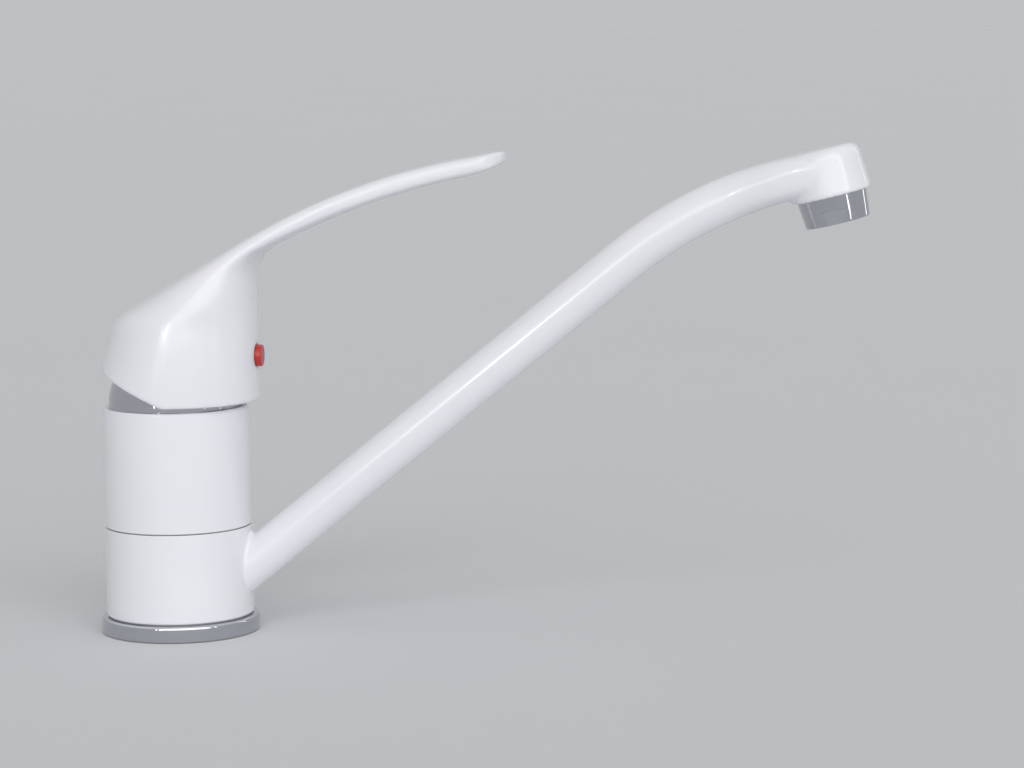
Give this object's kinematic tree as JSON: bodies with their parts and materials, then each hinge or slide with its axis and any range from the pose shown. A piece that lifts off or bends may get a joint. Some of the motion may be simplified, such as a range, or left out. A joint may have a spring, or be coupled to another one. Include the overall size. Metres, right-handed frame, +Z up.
{
  "type": "single lever kitchen tap",
  "caption": "Deck-mounted white kitchen tap with a lever over a drum, a swivelling upswept spout, a chrome foot and aerator, and a stud fixing.",
  "frame": {"origin": "middle of the foot, on the deck it stands on", "axes": "+Z up along the drum, +X along the spout and the lever, +Y to the left seen from behind the tap"},
  "size_m": [0.263, 0.0548, 0.2253],
  "materials": {
    "enamel": "gloss white enamel",
    "chrome": "polished",
    "rubber": "matt",
    "glide_plastic": "satin acetal",
    "white_plastic": "moulded",
    "cartridge_plastic": "moulded acetal",
    "steel_mesh": "plain",
    "ceramic": "lapped",
    "steel": "plain",
    "zinc_steel": "zinc plated",
    "brass": "turned",
    "red_plastic": "gloss",
    "blue_plastic": "gloss"
  },
  "bodies": {
    "tap_body": {"body_casting": "enamel", "base_ring": "chrome", "base_gasket": "rubber", "lower_glide_ring": "glide_plastic", "upper_glide_ring": "glide_plastic", "lower_lip_seal": "rubber", "upper_lip_seal": "rubber", "cartridge_base": "cartridge_plastic", "fixed_disc": "ceramic", "cartridge_housing": "cartridge_plastic", "port_seals": "rubber", "disc_seals": "rubber", "cartridge_nut": "brass", "dome_ring": "rubber", "dome_cap": "chrome", "fixing_stud": "zinc_steel", "clamp_gasket": "rubber", "clamp_plate": "zinc_steel", "clamp_nut": "brass"},
    "spout": {"spout_sleeve": "enamel", "spout_tube": "enamel", "spout_head": "enamel", "aerator_housing": "chrome", "aerator_core": "white_plastic", "aerator_lower_screen": "steel_mesh", "aerator_upper_screen": "steel_mesh", "aerator_strainer": "white_plastic", "aerator_washer": "rubber"},
    "turret": {"turret": "cartridge_plastic", "pivot_pin": "steel"},
    "lever": {"spindle": "steel", "handle": "enamel", "grub_screw": "steel", "index_plug_red": "red_plastic", "index_plug_blue": "blue_plastic"},
    "disc": {"moving_disc": "ceramic", "disc_carrier": "cartridge_plastic"}
  },
  "joints": [
    {"name": "spout_swivel", "type": "hinge", "parent": "tap_body", "child": "spout", "pos_m": [0, 0, 0.02], "axis": [0, 0, 1], "continuous": true},
    {"name": "lever_turn", "type": "hinge", "parent": "tap_body", "child": "turret", "pos_m": [0, 0, 0.078], "axis": [0, 0, 1], "range_deg": [-50, 50]},
    {"name": "lever_lift", "type": "hinge", "parent": "turret", "child": "lever", "pos_m": [0, 0, 0.078], "axis": [0, -1, 0], "range_deg": [0, 25]},
    {"name": "disc_slide", "type": "slide", "parent": "turret", "child": "disc", "axis": [1, 0, 0], "range_m": [0, 0.00589]}
  ],
  "couplings": [
    {"joint": "disc_slide", "follows": "lever_lift", "m_per_rad": 0.013393}
  ]
}
